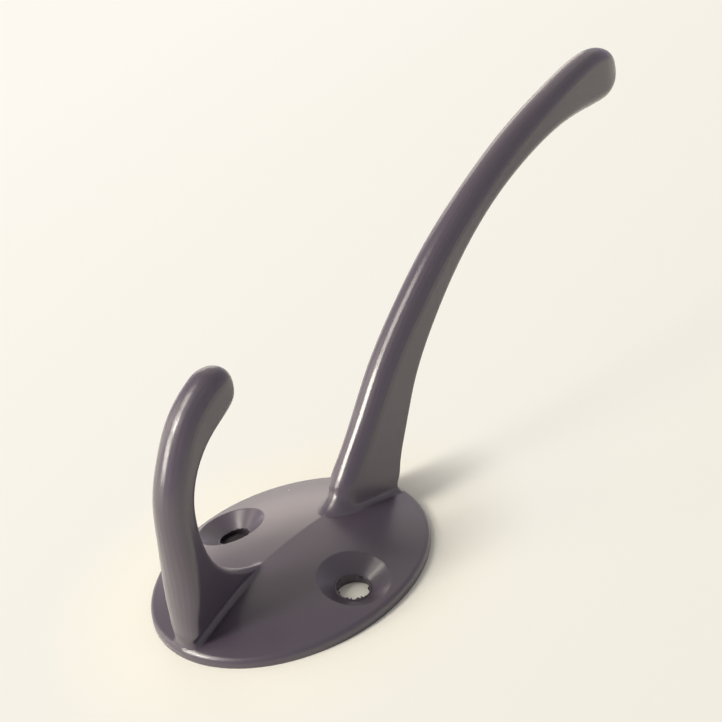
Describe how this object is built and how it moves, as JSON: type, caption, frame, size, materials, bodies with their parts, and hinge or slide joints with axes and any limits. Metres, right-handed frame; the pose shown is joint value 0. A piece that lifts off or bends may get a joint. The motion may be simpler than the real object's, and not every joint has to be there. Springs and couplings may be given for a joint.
{
  "type": "double robe hook",
  "caption": "One-piece cast wall hook: oval countersunk back plate with a long upper hat arm and a short lower coat arm, satin black.",
  "frame": {"origin": "centre of the oval plate's flat back face", "axes": "+Z out of the wall, +Y up the wall from the short arm towards the long arm, +X to the side along the line of the screw holes"},
  "size_m": [0.034, 0.1055, 0.0461],
  "materials": {
    "black_coating": "satin black coating on a zinc die casting"
  },
  "bodies": {
    "root": {"hook_casting": "black_coating"}
  },
  "joints": []
}
